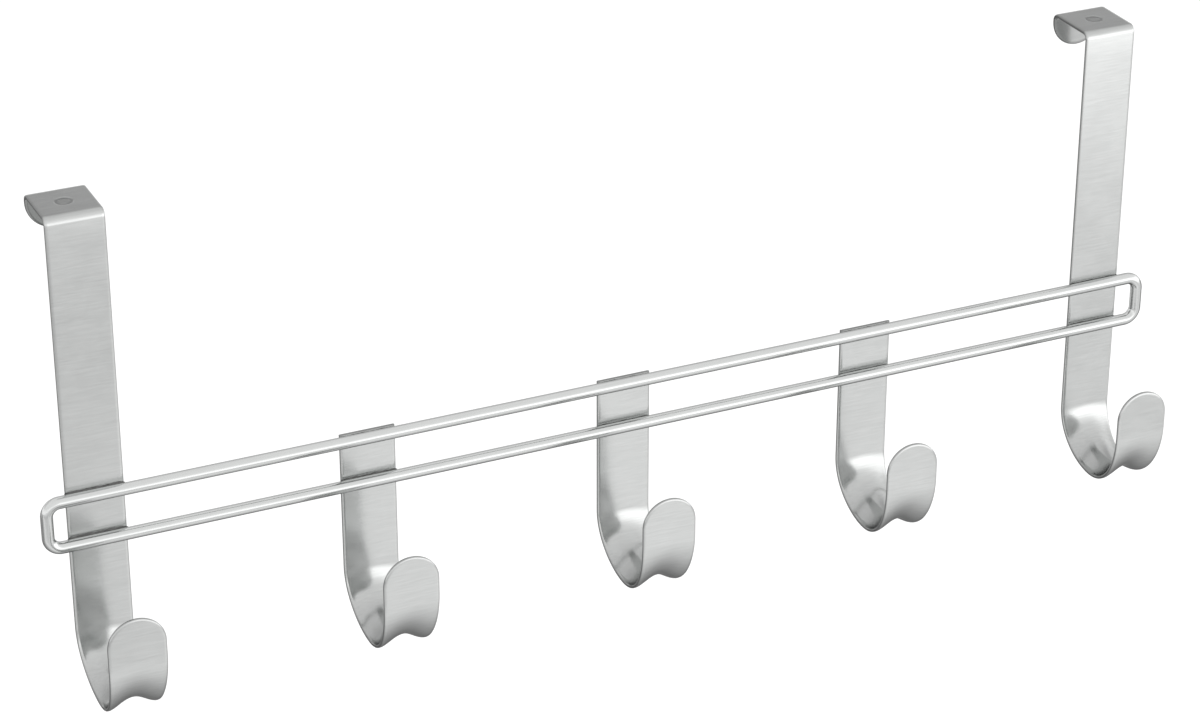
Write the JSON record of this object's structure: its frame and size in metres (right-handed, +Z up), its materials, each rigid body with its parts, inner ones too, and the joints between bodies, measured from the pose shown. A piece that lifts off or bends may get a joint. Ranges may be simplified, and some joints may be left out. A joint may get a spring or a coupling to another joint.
{
  "type": "over door hook rack",
  "caption": "Welded metal rack that hangs over the top of a door by two clips, with saddle-bent strip hooks tied together by a closed wire loop.",
  "frame": {"origin": "midway between the two door clips, on the edge where the front face of the door meets its top: the straps' backs lie on Y 0 and the undersides of the clip tabs on Z 0", "axes": "+X along the rack to the viewer's right, +Y into the door, away from the viewer, +Z up"},
  "size_m": [0.4628, 0.0669, 0.1857],
  "materials": {
    "strip_steel": "satin brushed across the strips",
    "wire_steel": "smooth drawn wire with a soft sheen",
    "weld_steel": "small darker fusion beads"
  },
  "bodies": {
    "root": {"left_door_hook": "strip_steel", "right_door_hook": "strip_steel", "left_short_hook": "strip_steel", "middle_short_hook": "strip_steel", "right_short_hook": "strip_steel", "wire_loop": "wire_steel", "upper_wire_welds": "weld_steel", "lower_wire_welds": "weld_steel"}
  },
  "joints": []
}
